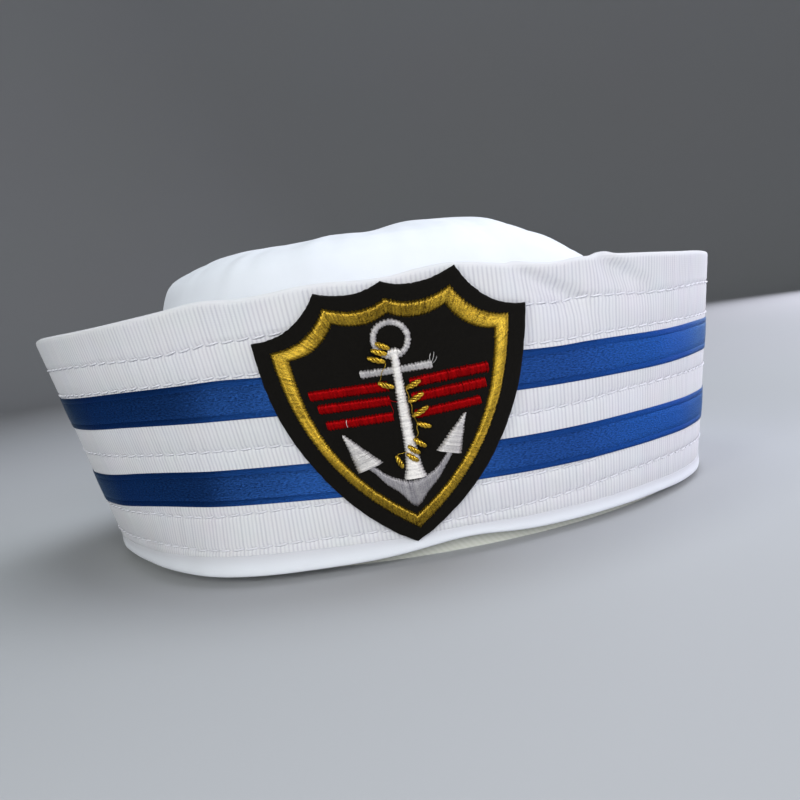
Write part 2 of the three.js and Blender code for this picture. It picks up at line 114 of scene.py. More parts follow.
def flatGrid(name, columns, rows):
    # a flat grid, with the shares along and across of its points
    bpy.ops.object.select_all(action="DESELECT")
    bpy.ops.mesh.primitive_grid_add(x_subdivisions=columns, y_subdivisions=rows, size=1)
    piece = bpy.context.object
    piece.name = name
    piece.data.name = name
    flat = np.empty(len(piece.data.vertices) * 3)
    piece.data.vertices.foreach_get("co", flat)
    along, across = flat.reshape(-1, 3).T[:2] + 0.5
    return piece, along, across


def bendGrid(name, columns, rows, place):
    # bends a flat grid into a sheet: place turns its shares into hat points and cloth sizes
    piece, along, across = flatGrid(name, columns, rows)
    points, clothX, clothV = place(along, across)
    mesh = piece.data
    mesh.vertices.foreach_set("co", toScene(points).ravel())
    # the UV map holds the cloth's own sizes in metres
    corner = np.empty(len(mesh.loops), int)
    mesh.loops.foreach_get("vertex_index", corner)
    uv = np.stack(np.broadcast_arrays(clothX, clothV), -1)[corner] * mm
    mesh.uv_layers.active.uv.foreach_set("vector", uv.ravel())
    mesh.update()
    return piece


def gridIndex(share, count):
    return np.rint(share * count).astype(int)


def sewEdges(closed=True, seams=True):
    # merges the seams of the active piece, and turns a closed one's faces outwards
    bpy.ops.object.mode_set(mode="EDIT")
    bpy.ops.mesh.select_all(action="SELECT")
    if seams:
        bpy.ops.mesh.remove_doubles(threshold=mergeDistance)
    if closed:
        bpy.ops.mesh.normals_make_consistent(inside=False)
    bpy.ops.object.mode_set(mode="OBJECT")
    bpy.ops.object.shade_smooth()


def thicken(piece, thickness):
    # sews the seams of a sheet and makes it solid
    sewEdges(closed=False)
    solidify = piece.modifiers.new("thickness", "SOLIDIFY")
    solidify.thickness = thickness * mm
    solidify.offset = -1
    bpy.ops.object.modifier_apply(modifier=solidify.name)
    bpy.ops.object.shade_smooth_by_angle(angle=smoothAngle)


def addPointValues(piece, name, values):
    attribute = piece.data.attributes.new(name, "FLOAT", "POINT")
    attribute.data.foreach_set("value", np.asarray(values, np.float32))


def finishPiece(piece, material, slot, *nodes):
    piece.data.materials.clear()
    piece.data.materials.append(material)
    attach(piece, "root")
    if nodes:
        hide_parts(*nodes)
    print(piece.name, len(piece.data.polygons), "faces")


def curveThrough(xs, ys, at):
    # smooth curve through the rows of a table
    xs, ys = np.asarray(xs, float), np.asarray(ys, float)
    slopes = np.gradient(ys, xs)
    i = np.clip(np.searchsorted(xs, at) - 1, 0, len(xs) - 2)
    width = xs[i + 1] - xs[i]
    t = np.clip((at - xs[i]) / width, 0, 1)
    start = ys[i] * (1 + 2 * t) * (1 - t) ** 2 + slopes[i] * width * t * (1 - t) ** 2
    end = ys[i + 1] * t * t * (3 - 2 * t) + slopes[i + 1] * width * t * t * (t - 1)
    return start + end


def swell(angle, middle, spread):
    away = (angle - middle + 180) % 360 - 180
    return np.exp(-((away / spread) ** 2))


def swells(angle, rows):
    # sum of soft humps: angle, spread, size
    return sum(size * swell(angle, middle, spread) for middle, spread, size in rows)


def smoothStep(value, low, high):
    t = np.clip((value - low) / (high - low), 0, 1)
    return t * t * (3 - 2 * t)


def plan(angle, ovality):
    return 1 - ovality * np.cos(2 * np.radians(angle))


def around(angle, radius, rise, shiftX):
    turn = np.radians(angle)
    return np.stack(np.broadcast_arrays(radius * np.sin(turn) + shiftX, -radius * np.cos(turn), rise), -1)


# Form of the cuff, which ribbons, shield and thread work follow
cuffForm = {
    "baseRadius": 96, "rimRadius": 110, "slant": 70, "rise": 68.6,
    "ovality": 0.03, "leanX": -4.2, "clothRadius": 100,
    # angle, spread, out, lift
    "hemSwells": [(-31, 20, 7.8, -0.6), (32, 30, 0, 1.2), (-112, 32, 0, 2), (85, 45, 0, 1)],
    "hemOutReach": 28, "hemOutFade": 1.5, "hemLiftReach": 17.5,
    "hemNotch": (5, 9, 1.9, 6),  # angle, spread, lift, reach
    # how far the upper edge rises at places round the front
    "rimAngle": [-180, -70, -60, -50, -40, -32, -27, -20, -16, -12, -8, -4, 0, 4, 8, 12, 16, 20, 24, 28,
                 32, 40, 48, 60, 180],
    "rimLift": [0, 0, 0, 0.1, 0.8, 1.8, 2.6, 1.9, 2.2, 2.8, 2.8, 2.3, 2.3, 3.3, 3.8, 3.1, 2, 1.2, 0.8, 1.4,
                1.3, 0.7, 0.2, 0, 0],
    "rimLiftFrom": 42,
    # x, v, half length, half height above and below, slope, depth
    "dents": [(41, 63.6, 11, 1.7, 4, -0.5, 2.2), (62, 66.2, 10, 1.6, 4, -0.45, 2.1)],
    # count round, depth, start, slant
    "softWaves": [(7, 0.18, 0.4, 1.3), (11, 0.14, 2.1, -2.2), (17, 0.1, 4.4, 3), (29, 0.06, 1, -4)],
}
halfGirth = math.pi * cuffForm["clothRadius"]


def hemLift(angle):
    middle, spread, notch = cuffForm["hemNotch"][:3]
    lifts = sum(lift * swell(angle, *place) for *place, out, lift in cuffForm["hemSwells"])
    return lifts + notch * swell(angle, middle, spread)


def cuffFace(angle, v):
    form = cuffForm
    share = v / form["slant"]
    low = np.clip(v, 0, None)
    radius = form["baseRadius"] + (form["rimRadius"] - form["baseRadius"]) * share
    radius = radius * plan(angle, form["ovality"])
    rise = form["rise"] * share
    outShare = np.clip(1 - low / form["hemOutReach"], 0, None) ** form["hemOutFade"]
    liftShare = np.clip(1 - low / form["hemLiftReach"], 0, None)
    for middle, spread, out, lift in form["hemSwells"]:
        radius = radius + out * swell(angle, middle, spread) * outShare
        rise = rise + lift * swell(angle, middle, spread) * liftShare
    middle, spread, notch, reach = form["hemNotch"]
    rise = rise + notch * swell(angle, middle, spread) * np.clip(1 - low / reach, 0, None)
    rimShare = np.clip((v - form["rimLiftFrom"]) / (form["slant"] - form["rimLiftFrom"]), 0, None)
    rise = rise + curveThrough(form["rimAngle"], form["rimLift"], angle) * rimShare
    for dentX, dentV, halfLength, above, below, slope, depth in form["dents"]:
        along = np.radians(angle) * form["clothRadius"] - dentX
        across = v - dentV - slope * along
        across = across / np.where(across > 0, above, below)
        radius = radius - depth * np.exp(-((along / halfLength) ** 2) - across ** 2)
    for count, depth, start, slant in form["softWaves"]:
        radius = radius + depth * np.sin(count * np.radians(angle) + start + slant * share)
    return around(angle, radius, rise, form["leanX"] * share)


def onCuff(x, v, out):
    x, v, out = np.broadcast_arrays(np.asarray(x, float), v, out)
    angle = np.degrees(x / cuffForm["clothRadius"])
    step = 0.5  # degrees and millimetres
    sideways = cuffFace(angle + step, v) - cuffFace(angle - step, v)
    upwards = cuffFace(angle, v + step) - cuffFace(angle, v - step)
    normal = np.cross(sideways, upwards)
    normal /= np.linalg.norm(normal, axis=-1, keepdims=True)
    return cuffFace(angle, v) + normal * out[..., None]


# Threads: many small tubes joined in one mesh
def layThreads(name, paths, radius, sides=6, seed=1, shades=(0.3, 0.9), bunch=1, endSize=0.5):
    # paths: hat points, a row for each thread; shades: darkest and lightest, for all or for each
    random = np.random.default_rng(seed)
    paths = np.asarray(paths, float)
    count, steps = paths.shape[:2]
    along = np.gradient(paths, axis=1)
    along /= np.linalg.norm(along, axis=2, keepdims=True) + 1e-9
    side = np.cross(along, paths * np.array([1, 1, 0]))
    side /= np.linalg.norm(side, axis=2, keepdims=True) + 1e-9
    up = np.cross(side, along)
    taper = np.ones(steps)
    taper[[0, -1]] = endSize
    turn = 2 * math.pi * np.arange(sides) / sides
    ring = side[:, :, None] * np.cos(turn)[:, None] + up[:, :, None] * np.sin(turn)[:, None]
    points = (paths[:, :, None] + ring * (radius * taper)[:, None, None]).reshape(-1, 3)
    block = np.arange(sides)
    wall = np.stack([block, (block + 1) % sides, (block + 1) % sides + sides, block + sides], 1)
    walls = (wall[None] + sides * np.arange(steps - 1)[:, None, None]).reshape(-1, 4)
    starts = steps * sides * np.arange(count)
    faces = (walls[None] + starts[:, None, None]).reshape(-1, 4).tolist()
    faces += (block[::-1] + starts[:, None]).tolist()
    faces += (block + starts[:, None] + (steps - 1) * sides).tolist()
    mesh = bpy.data.meshes.new(name)
    mesh.from_pydata(toScene(points).tolist(), [], faces)
    piece = bpy.data.objects.new(name, mesh)
    bpy.context.collection.objects.link(piece)
    low, high = np.transpose(np.broadcast_to(shades, (count, 2)))
    light = np.repeat(random.uniform(0, 1, count // bunch + 1), bunch)[:count]
    addPointValues(piece, "shade", np.repeat(low + (high - low) * light, steps * sides))
    bpy.ops.object.select_all(action="DESELECT")
    piece.select_set(True)
    bpy.context.view_layer.objects.active = piece
    sewEdges(seams=False)
    return piece


# Cloth materials
clothFinish = {"Specular IOR Level": 0.25, "Sheen Weight": 0.15, "Sheen Roughness": 0.5}


def makeRibbedCloth():
    # ribbed polyester cotton, woven with thick cords: matt, with painted shade between the ribs
    add, finish = newMaterial("ribbedPolyesterCotton")
    uv = add("UVMap", "UV")
    rib = add("Attribute", "Fac", attribute_name="rib")
    mottle = add("TexNoise", "Color", {"Vector": uv, "Scale": perMetre(9), "Detail": 3})
    # weft threads, drawn a little coarse so that they show
    weft = add("TexWave", "Fac", {
        "Vector": uv, "Scale": waveScale(0.55), "Distortion": 1.2, "Detail": 1, "Detail Scale": 2,
    }, bands_direction="Y")
    # painted shade: the valleys between the ribs are drawn greyer than the crests, by the rib share
    paintedRibShade = add("Mix", 2, {0: rib, 6: "#c7c6cd", 7: "#dbdbde"}, data_type="RGBA")
    tone = add("Mix", 2, {0: 0.1, 6: paintedRibShade, 7: mottle}, data_type="RGBA", blend_type="SOFT_LIGHT")
    bump = add("Bump", "Normal", {"Height": weft, "Strength": 0.25, "Distance": 0.05 * mm})
    return finish({"Base Color": tone, "Normal": bump, "Roughness": 0.88, **clothFinish})


def makePlainCloth():
    # plain woven polyester cotton: smooth and matt, with a fine even thread; painted shade greys the binding
    # above its lip and folded under
    add, finish = newMaterial("plainPolyesterCotton")
    uv = add("UVMap", "UV")
    mottle = add("TexNoise", "Fac", {"Vector": uv, "Scale": perMetre(12), "Detail": 3})
    # warp and weft threads, drawn at twice their spacing so that they show
    warp, weft = (add("TexWave", "Fac", {
        "Vector": uv, "Scale": waveScale(0.6), "Distortion": 0.8, "Detail": 1,
    }, bands_direction=direction) for direction in "XY")
    weave = add("Math", "Value", {0: warp, 1: weft}, operation="MULTIPLY")
    bright = add("Mix", 2, {0: mottle, 6: "#e2e6ed", 7: "#ecf0f6"}, data_type="RGBA")
    bindingShade = add("Attribute", "Fac", attribute_name="bindingShade")
    # painted shade: grey mixed in by the binding shade share; the crown has none
    tone = add("Mix", 2, {0: bindingShade, 6: bright, 7: "#cfd0d6"}, data_type="RGBA")
    bump = add("Bump", "Normal", {"Height": weave, "Strength": 0.2, "Distance": 0.05 * mm})
    return finish({"Base Color": tone, "Normal": bump, "Roughness": 0.85, **clothFinish})


def makeLining():
    # unbleached cotton twill: dull, with diagonal ribs; the little green in its colour is a painted cast of
    # reflected green light
    add, finish = newMaterial("cottonTwill")
    uv = add("UVMap", "UV")
    # twill ribs, drawn at twice their spacing so that they show
    twill = add("TexWave", "Fac", {
        "Vector": uv, "Scale": waveScale(0.9), "Distortion": 0.6, "Detail": 1,
    }, bands_direction="DIAGONAL")
    # the green in both colours is painted reflected light
    tone = add("Mix", 2, {0: twill, 6: "#c3c5bb", 7: "#cbccc4"}, data_type="RGBA")
    bump = add("Bump", "Normal", {"Height": twill, "Strength": 0.4, "Distance": 0.1 * mm})
    return finish({"Base Color": tone, "Normal": bump, "Roughness": 0.92, "Specular IOR Level": 0.2})


def makeSatin():
    # polyester satin ribbon: long floating blue threads mirror the light along its length like dull metal
    add, finish = newMaterial("polyesterSatin")
    uv = add("UVMap", "UV")
    selvedge = add("Attribute", "Fac", attribute_name="selvedge")
    stretch = add("Mapping", "Vector", {
        "Vector": uv, "Rotation": (0, 0, math.radians(16)), "Scale": (perMetre(0.9), perMetre(0.34), 1),
    })
    streaks = add("TexNoise", "Fac", {"Vector": stretch, "Scale": 1, "Detail": 3, "Roughness": 0.65})
    contrast = add("MapRange", "Result", {"Value": streaks, "From Min": 0.22, "From Max": 0.78})
    body = add("Mix", 2, {0: contrast, 6: "#071230", 7: "#3267bd"}, data_type="RGBA")
    tone = add("Mix", 2, {0: selvedge, 6: body, 7: "#173f80"}, data_type="RGBA")
    # the floating threads lie like roof tiles, each turned a little upwards
    facing = add("NewGeometry", "Normal")
    raised = add("VectorMath", "Vector", {0: facing, 1: (0, 0, 0.4)}, operation="ADD")
    floats = add("VectorMath", "Vector", {0: raised}, operation="NORMALIZE")
    bump = add("Bump", "Normal", {"Height": streaks, "Strength": 1, "Distance": 0.2 * mm, "Normal": floats})
    tangent = add("Tangent", "Tangent", direction_type="UV_MAP")
    return finish({
        "Base Color": tone, "Normal": bump, "Roughness": 0.36, "Metallic": 0.86, "Tangent": tangent,
        "Specular Tint": "#86a6ac", "Anisotropic": 0.85, "Anisotropic Rotation": 0.25,
    })


def makeFelt():
    # wool felt, pressed: dull black with a faint grey fuzz
    add, finish = newMaterial("woolFelt")
    place = add("TexCoord", "Object")
    fibres = add("TexNoise", "Fac", {"Vector": place, "Scale": perMetre(0.7), "Detail": 4, "Roughness": 0.7})
    tone = add("Mix", 2, {0: fibres, 6: "#080706", 7: "#151310"}, data_type="RGBA")
    bump = add("Bump", "Normal", {"Height": fibres, "Strength": 0.5, "Distance": 0.1 * mm})
    return finish({
        "Base Color": tone, "Normal": bump, "Roughness": 1.0, "Specular IOR Level": 0.1,
        "Sheen Weight": 0.05, "Sheen Roughness": 0.6, "Sheen Tint": "#9a968f",
    })


def makeThread(name, dark, light, sparkleSize, settings):
    # embroidery thread: each stitch has its own shade, and a painted sparkle of lighter and darker specks
    # along it stands for the glints of its twisted fibres
    add, finish = newMaterial(name)
    shade = add("Attribute", "Fac", attribute_name="shade")
    place = add("TexCoord", "Object")
    # twist of the fibres, drawn coarse so that it shows
    twist = add("TexNoise", "Fac", {"Vector": place, "Scale": perMetre(0.35), "Detail": 2})
    # painted sparkle: the twist noise lightens and darkens the colour
    sparkle = add("MapRange", "Result", {
        "Value": twist, "From Min": 0.3, "From Max": 0.7, "To Min": -sparkleSize, "To Max": sparkleSize,
    })
    factor = add("Math", "Value", {0: shade, 1: sparkle}, operation="ADD", use_clamp=True)
    tone = add("Mix", 2, {0: factor, 6: dark, 7: light}, data_type="RGBA")
    bump = add("Bump", "Normal", {"Height": twist, "Strength": 0.35, "Distance": 0.1 * mm})
    return finish({"Base Color": tone, "Normal": bump, **settings})


ribbedCloth = makeRibbedCloth()
plainCloth = makePlainCloth()
lining = makeLining()
satin = makeSatin()
felt = makeFelt()
goldThread = makeThread("metallicGoldThread", "#3e2a02", "#e4bd3e", 0.3, {
    "Roughness": 0.28, "Metallic": 0.85,
})
silverThread = makeThread("rayonThreadPaleGrey", "#75727a", "#eeeae6", 0.12, {
    "Roughness": 0.4, "Metallic": 0.35,
})
redThread = makeThread("rayonThreadRed", "#740206", "#b0060a", 0.2, {
    "Roughness": 0.36, "Metallic": 0.5, "Specular IOR Level": 0.05,
})
whiteThread = makeThread("polyesterSewingThread", "#d6d6dc", "#e8e8ee", 0.1, {
    "Roughness": 0.6, "Specular IOR Level": 0.3,
})
print("materials made")


ribbonForm = {
    "x": [-314, -220, -115, -80, -50, 0, 40, 80, 100, 160, 220, 314],
    # height of the middle at each x
    "middles": {
        "Lower": [21.8, 21.6, 21.5, 22.7, 22.7, 22.2, 21.6, 22, 21.8, 21.8, 21.8, 21.8],
        "Upper": [45.2, 45.6, 46.1, 46.4, 46.3, 45, 43.8, 43.7, 44, 44.6, 45, 45.2],
    },
    # offset from the middle, out
    "halfProfile": [(0, 0.32), (1.6, 0.31), (3.1, 0.27), (3.3, 0.17), (3.5, 0.27), (4.3, 0.28), (4.9, 0.2),
                    (5, 0.1)],
    "halfWidth": 5, "cloth": 0.2, "columns": 720,
    "selvedge": (3.4, 0.75),  # offset where it starts, share of its own colour
    "wanders": [(5, 0.1, 12), (14, 0.06, 0)],  # count round, size, start
    "ripples": (24, 0.05, 4, 3),  # count round, size; count and size of their wandering
}


def ribbonMiddle(word, x):
    return curveThrough(ribbonForm["x"], ribbonForm["middles"][word], x)


hemBinding = {
    "columns": 420,
    # v, out
    "outer": [(-0.4, -0.6), (-0.5, 0.3), (-0.42, 0.8), (-0.15, 1.05), (0.3, 1.12), (0.9, 1), (1.5, 0.76),
              (2.1, 0.5), (2.6, 0.28), (3, 0.13), (3.3, 0.04), (3.36, -0.12), (3.1, -0.45), (2.4, -0.7),
              (1.3, -0.7)],
    "taller": [(-25, 25, 0.4)],  # angle, spread, share added to its height
    "lips": [(-95, 40, 0.6), (88, 40, 0.7)],  # angle, spread, share of the lip taken away
    "lipFrom": 0.05, "puckerFrom": 0.3,  # out, v
    "inside": [(93, 1.25), (91.6, 1.15), (91.4, 0.6), (91.7, 0.05), (94, -0.05)],  # radius, rise
    "rowStep": 1.2,  # along the folded strip
    "puckers": (52, 0.06, 3, 2),  # count round, depth; count and size of their wandering
    "puckerFade": (8, 0.4),  # count round, share
    # painted shade on the binding, greyer away from its lower lip and inside
    "bindingShade": (0.3, 0.9, 3.2),  # least share, v where it grows and where it is full
    "flat": (0.6, 0.011),
}


def bindingHeight(angle):
    return 1 + swells(angle, hemBinding["taller"])


# Cuff: a ribbed strip folded at its upper edge
cuffCloth = {
    "ribs": 553, "columnsPerRib": 3, "ribDepth": 0.065, "unevenRibs": 0.35, "wall": 2.2,
    "hem": [(1.6, -1), (2.4, -1), (2.8, -0.55), (3.15, -0.15), (3.5, 0)],  # v, out, pressed in by the binding
    "rows": [12.6, 20, 24.5, 29, 38, 42, 46.5, 55.5, 62, 63.5, 65, 66.5, 67.8, 68.7],
    "smoothFrom": 68.6, "foldStart": 69, "foldSteps": 5,
    "innerRows": [69, 66, 50, 30, 12, 2.4],
}
cuffSeams = {
    # height of each row of stitches at places along the cloth
    "x": [-314, -220, -150, -115, -85, -60, -35, 0, 30, 45, 60, 75, 100, 150, 220, 314],
    "rows": [
        [6.2, 6.2, 6.2, 6.2, 6.5, 6.1, 6.9, 7, 7.3, 8.2, 9.5, 10, 10.2, 9, 7.2, 6.2],
        [15.4, 15.4, 15.4, 15.3, 15.3, 15, 16, 15.8, 15.6, 16, 16.9, 17.3, 17.2, 16.2, 15.4, 15.4],
        [33.2, 33.2, 33.2, 33.2, 33.1, 33.1, 33, 33, 32.6, 33, 34, 34.2, 34.2, 33.8, 33.4, 33.2],
        [51.4, 51.4, 51.6, 51.9, 52.2, 52.1, 51.9, 51, 50.4, 50.3, 50.4, 50.6, 50.6, 50.8, 51.2, 51.4],
        [60.2, 60.2, 60.2, 60.3, 60.4, 59.5, 60.5, 60.4, 60, 60.1, 59.8, 59.4, 60.2, 60.2, 60.2, 60.2],
    ],
    "stitches": 153, "fill": 0.8, "slant": 0.3, "thread": 0.26,
    "groove": [(-1.1, 0), (-0.4, 0.65), (0, 1), (0.4, 0.65), (1.1, 0)],  # offset, share of the depth
    "depth": 0.5,
    "flush": 0.25,  # share of the depth where the thread goes through the cloth
    "steps": 7,
    "uneven": (0.06, 0.05, 0.08),  # along, up and in slant
    "rise": 0.22, "sunk": 0.14, "hiddenWithin": 5.2,  # of a ribbon's middle
}


def seamLine(row, x):
    return curveThrough(cuffSeams["x"], row, x)


def seamDimple(x):
    # deep under each stitch, and nearly flush where the thread goes through the cloth
    turn = (x + halfGirth) / (2 * halfGirth) * cuffSeams["stitches"]
    return cuffSeams["flush"] + (1 - cuffSeams["flush"]) * np.sqrt(np.abs(np.sin(math.pi * turn)))


def makeCuff():
    cloth, seams = cuffCloth, cuffSeams
    # rows of the folded strip: height, distance from the outer face, seam and depth of its groove
    rows = [(v, 0, -1, 0) for v in cloth["rows"]]
    for number, heights in enumerate(seams["rows"]):
        rows += [(heights[0] + offset, 0, number, share) for offset, share in seams["groove"]]
    rows = [(v, out, -1, 0) for v, out in cloth["hem"]] + sorted(rows)
    half = cloth["wall"] / 2
    for i in range(1, cloth["foldSteps"] + 1):
        turn = math.pi * i / (cloth["foldSteps"] + 1)
        rows.append((cloth["foldStart"] + math.sin(turn), half * math.cos(turn) - half, -1, 0))
    rows += [(v, -cloth["wall"], -1, 0) for v in cloth["innerRows"]]
    rows.append(rows[0])
    rowV, rowOut, rowSeam, rowShare = np.array(rows).T
    columns = cloth["ribs"] * cloth["columnsPerRib"]
    random = np.random.default_rng(3)
    ribDepth = cloth["ribDepth"] * (1 + cloth["unevenRibs"] * random.uniform(-1, 1, cloth["ribs"]))
    rib = []

    def place(along, across):
        row = gridIndex(across, len(rows) - 1)
        column = gridIndex(along, columns)
        x = (along * 2 - 1) * halfGirth
        v, out = rowV[row], rowOut[row]
        pressed = (row < len(cloth["hem"])) | (row == len(rows) - 1)
        v = v * np.where(pressed, bindingHeight(np.degrees(x / cuffForm["clothRadius"])), 1)
        for number, heights in enumerate(seams["rows"]):
            v = v + (rowSeam[row] == number) * (seamLine(heights, x) - heights[0])
        out = out - seams["depth"] * rowShare[row] * seamDimple(x)
        crest = column % cloth["columnsPerRib"] > 0
        depth = ribDepth[column // cloth["columnsPerRib"] % cloth["ribs"]]
        depth = depth * (1 - smoothStep(v, cloth["smoothFrom"], cloth["foldStart"]))
        inner = rowOut[row] <= -cloth["wall"]
        out = out - np.where(inner, -1, 1) * depth * (1 - crest)
        # rib share for the painted shade between the ribs: 1 on the crests, lower the deeper a valley
        rib.extend(1 - (1 - crest) * depth / cloth["ribDepth"])
        return onCuff(x, v, out), x, v

    piece = bendGrid("cuffCloth", columns, len(rows) - 1, place)
    addPointValues(piece, "rib", rib)
    sewEdges()
    finishPiece(piece, ribbedCloth, "white_cloth", "cuff")


def makeCuffStitches():
    seams = cuffSeams
    random = np.random.default_rng(5)
    count = seams["stitches"]
    pitch = 2 * halfGirth / count
    s = np.linspace(0, 1, seams["steps"])
    middle = -halfGirth + (np.arange(count) + 0.5) * pitch
    out = seams["rise"] * np.sin(math.pi * s) ** 0.5 - seams["sunk"]
    paths = []
    for heights in seams["rows"]:
        slideX, slideV, turn = (random.normal(0, size, (count, 1)) for size in seams["uneven"])
        x = middle[:, None] + (s - 0.5) * pitch * seams["fill"] + slideX
        v = seamLine(heights, x) + slideV + (seams["slant"] + turn) * (s - 0.5)
        # the ribbons hide some rows
        shown = np.ones(count, bool)
        for word in ribbonForm["middles"]:
            shown &= np.abs(seamLine(heights, middle) - ribbonMiddle(word, middle)) >= seams["hiddenWithin"]
        paths.append(onCuff(x, v, out)[shown])
    piece = layThreads("cuffStitches", np.concatenate(paths), seams["thread"], sides=5)
    finishPiece(piece, whiteThread, "white_cloth")


makeCuff()
makeCuffStitches()


# Hem binding: a folded strip round the lower edge
def makeBinding():
    rows = hemBinding["outer"] + hemBinding["inside"]
    rows = rows + rows[:1]
    first, second = np.array(rows, float).T
    onOuter = np.arange(len(rows)) % (len(rows) - 1) < len(hemBinding["outer"])
    steps = np.arange(len(rows)) * hemBinding["rowStep"]
    bindingShade = []

    def place(along, across):
        row = gridIndex(across, len(rows) - 1)
        x = (along * 2 - 1) * halfGirth
        turn = x / cuffForm["clothRadius"]
        angle = np.degrees(turn)
        count, depth, bends, bend = hemBinding["puckers"]
        fades, fade = hemBinding["puckerFade"]
        pucker = np.sin(count * turn + bend * np.sin(bends * turn)) * (1 - fade + fade * np.sin(fades * turn))
        less = np.where(second[row] > hemBinding["lipFrom"], swells(angle, hemBinding["lips"]), 0)
        out = second[row] * (1 - less)
        out = out + depth * pucker * (first[row] > hemBinding["puckerFrom"]) * (second[row] > 0)
        height = first[row] * np.where(first[row] > 0, bindingHeight(angle), 1)
        outer = onCuff(x, np.where(onOuter[row], height, 0), np.where(onOuter[row], out, 0))
        radius = np.where(onOuter[row], 0, first[row]) * plan(angle, cuffForm["ovality"])
        inside = around(angle, radius, second[row] + hemLift(angle), 0)
        # painted shade: a least share on the lower lip, growing up the binding to full above it and inside
        least, *growth = hemBinding["bindingShade"]
        bindingShade.extend(least + (1 - least) * smoothStep(first[row], *growth))
        return np.where(onOuter[row][:, None], outer, inside), x, steps[row]

    piece = bendGrid("hemBindingCloth", hemBinding["columns"], len(rows) - 1, place)
    addPointValues(piece, "bindingShade", bindingShade)
    sewEdges()
    finishPiece(piece, plainCloth, "white_cloth", "hem_binding")


makeBinding()


# Crown: a gathered wall and a round top, with one profile that runs through their seam
crownForm = {
    # stations from the hem up the wall to the seam, then over the top to its middle
    "stations": {
        "radius": [93.2, 90.2, 83.8, 78.6, 75.4, 72.2, 69.2, 67.2, 66.2, 65.2, 63.6, 61, 57, 50, 38, 20, 0],
        "rise": [1.5, 25, 50, 66, 75, 81, 84, 85.5, 86.2, 86.8, 87.5, 88.4, 89.4, 90.5, 91.6, 92.4, 92.6],
        "ovality": [0.03, 0.03, 0.02, 0.005] + [0] * 13,
        # shares of the folds, of their lift, of the creases, slumps, bulge, dips and slow swells
        "gather": [0, 0, 0, 0.1, 0.25, 0.5, 0.8, 1, 1, 1, 0.95, 0.8, 0.5, 0.2, 0.05, 0, 0],
        "gatherUp": [0, 0, 0, 0.05, 0.15, 0.35, 0.55, 0.65, 0.72, 0.8, 0.88, 0.95, 1, 1, 1, 1, 1],
        "crease": [0, 0, 0.5, 1, 1, 0.9, 0.6, 0.3, 0.1] + [0] * 8,
        "slump": [0, 0, 0.04, 0.515, 0.818, 0.956, 0.992, 1, 1, 0.99, 0.95, 0.885, 0.8, 0.655, 0.435, 0.165,
                  0],
        "bulge": [0, 0, 0, 0, -0.15, 0.45, 1.15, 1.4, 1.45, 1.38, 1.28, 1.15, 0.96, 0.74, 0.43, 0.12, 0],
        "dip": [0] * 7 + [0.05, 0.15, 0.28, 0.42, 0.58, 0.76, 0.92, 1, 1, 1],
        "swell": [0] * 9 + [0.05, 0.15, 0.3, 0.55, 0.9, 1, 0.5, 0],
    },
    "seamStation": 8, "leanX": -1.5, "bulges": [(-95, 45, 2.2)],  # angle, spread, out
    "slumps": [(78, 47, 10.2), (-82, 50, 4)],  # angle, spread, drop
    # x, spread, depth and sideways drift of the soft dips in the top
    "dips": [(-25, 18, 3, 0.22), (-4, 10.5, 2.4, -0.12), (31.5, 11, -2, -0.3)],
    "dipFrom": -42,  # y where a dip is at its x
    "dipFade": (60, 0),  # y where the dips end, and where they are full
    "tucks": [(-57, 5, 0.7), (-32, 6, 0.9), (2, 5, 0.7)],  # angle, spread, depth
    "creases": (0.4, 9, 0.05, 5, 1),  # depth, count, slant; count and start of their fading
    "swells": (0.6, 3, 17),  # height, count round, radius for one radian
    # folds round the seam: count, depth, start and how far they wander
    "gathers": [(19, 0.2, 0, 1.4), (31, 0.16, 2, 2.2), (57, 0.07, 4, 3)],
    "gatherBends": 3,  # count round of the wandering
    "cloth": 0.9,
    "girthRadius": 80,  # of the wall's flat cloth
    "columns": 540, "sideRows": 46, "topRows": 40,
}


def crownPoints(angle, at):
    form, stations = crownForm, crownForm["stations"]
    last = len(stations["rise"]) - 1
    share = {name: curveThrough(np.arange(last + 1), row, at) for name, row in stations.items()}
    turn = np.radians(angle)
    bends = form["gatherBends"]
    folds = (depth * np.cos(count * turn + start + wander * np.sin(bends * turn + start))
             for count, depth, start, wander in form["gathers"])
    fold = share["gather"] * sum(folds)
    bulge, slump, tuck = (swells(angle, form[name]) for name in ("bulges", "slumps", "tucks"))
    depth, count, slant, fades, start = form["creases"]
    crease = np.sin(count * turn + slant * share["rise"]) * np.sin(fades * turn + start)
    radius = share["radius"] + depth * crease * share["crease"] + bulge * share["bulge"]
    radius = radius - tuck * share["gather"]
    radius = radius + fold * np.sqrt(np.clip(1 - share["gatherUp"] ** 2, 0, 1))
    radius = np.where(at > last - 1e-6, 0, radius * plan(angle, share["ovality"]))
    low, reach = stations["rise"][0], cuffForm["hemLiftReach"]
    rise = share["rise"] + hemLift(angle) * np.clip(1 - (share["rise"] - low) / reach, 0, None)
    rise = rise + fold * share["gatherUp"] - slump * share["slump"]
    height, count, length = form["swells"]
    rise = rise + height * np.sin(count * turn + share["radius"] / length) * share["swell"]
    lean = form["leanX"] * share["rise"] / stations["rise"][form["seamStation"]]
    points = around(angle, radius, rise, lean)
    x, y = points[:, 0], points[:, 1]
    for middle, spread, depth, drift in form["dips"]:
        away = x - middle - drift * (y - form["dipFrom"])
        dip = depth * np.exp(-((away / spread) ** 2)) * share["dip"]
        points[:, 2] -= dip * smoothStep(y, *form["dipFade"])
    return points, radius


